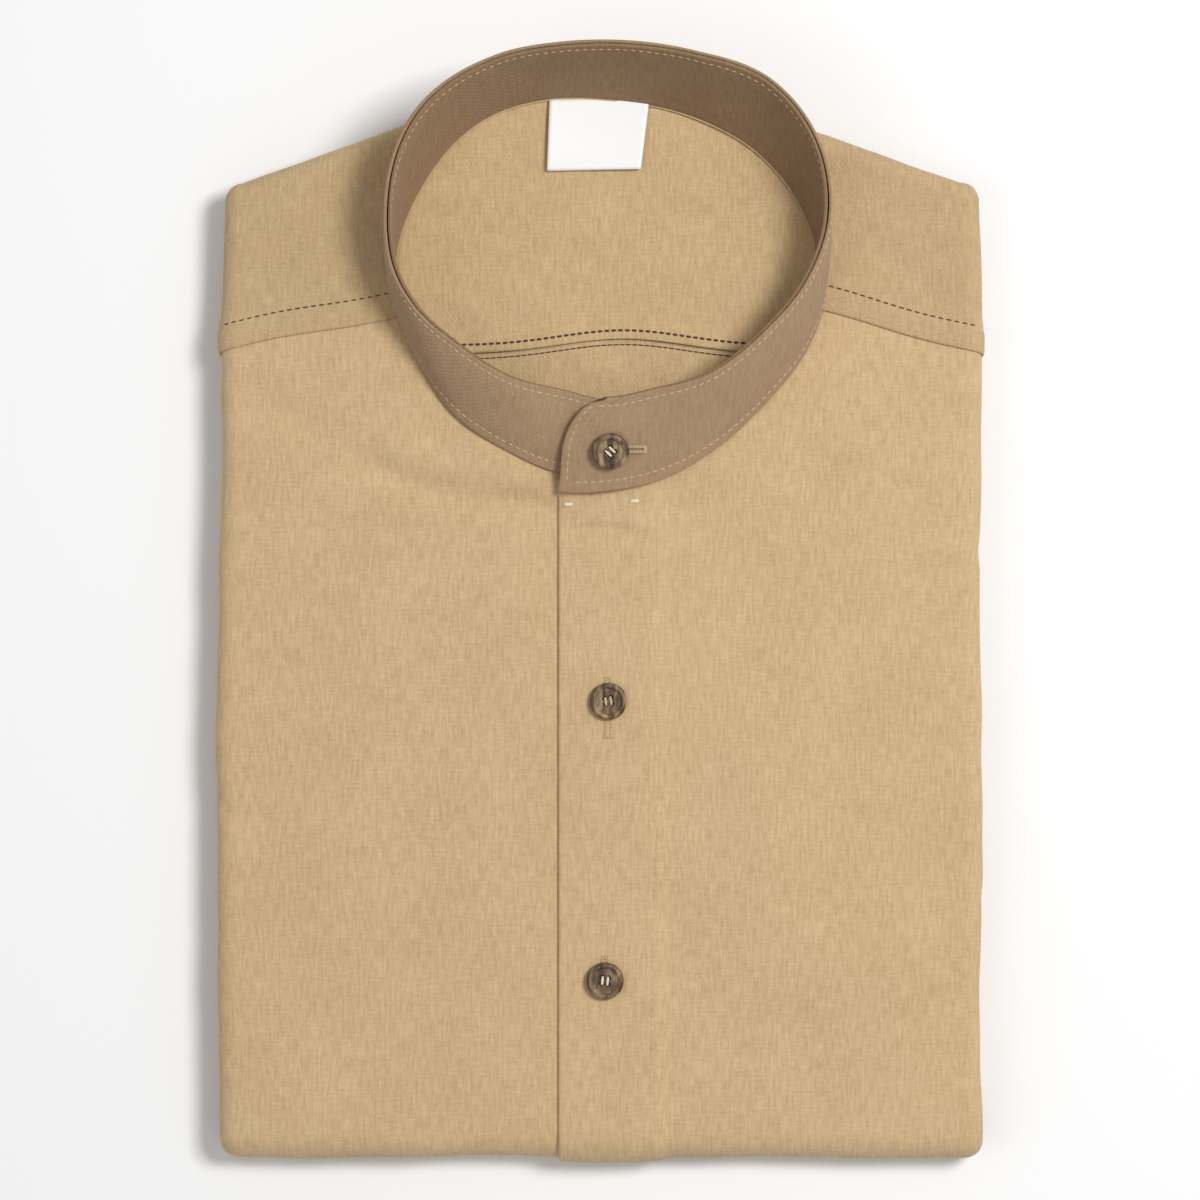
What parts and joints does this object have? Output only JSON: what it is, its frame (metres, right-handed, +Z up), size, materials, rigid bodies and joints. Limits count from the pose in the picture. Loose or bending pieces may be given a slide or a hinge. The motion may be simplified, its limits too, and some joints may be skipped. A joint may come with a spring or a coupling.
{
  "type": "folded mandarin collar shirt",
  "caption": "Folded shirt with a standing band collar, a buttoned placket over the chest, shoulder yoke and neck label, lying flat on its back.",
  "frame": {"origin": "on the surface that the shirt lies on, under the middle of the whole shirt", "axes": "+X across the chest towards the wearer's left, +Y from the tail fold up to the back of the neck, +Z up from the surface"},
  "size_m": [0.234, 0.3416, 0.0444],
  "materials": {
    "slub_cloth": "matt slub weave of viscose and linen in tan",
    "horn_look_button": "horn-look polyester, brushed, marbled brown",
    "label_satin": "white woven satin ribbon",
    "sewing_thread": "spun polyester sewing thread, dark brown, tan and cream"
  },
  "bodies": {
    "root": {"folded_layers": "slub_cloth", "front_left": "slub_cloth", "front_right": "slub_cloth", "yoke": "slub_cloth", "yoke_inside": "slub_cloth", "back_inside": "slub_cloth", "collar_outer": "slub_cloth", "collar_inner": "slub_cloth", "button_collar": "horn_look_button", "button_front_1": "horn_look_button", "button_front_2": "horn_look_button", "neck_label": "label_satin"}
  },
  "joints": []
}
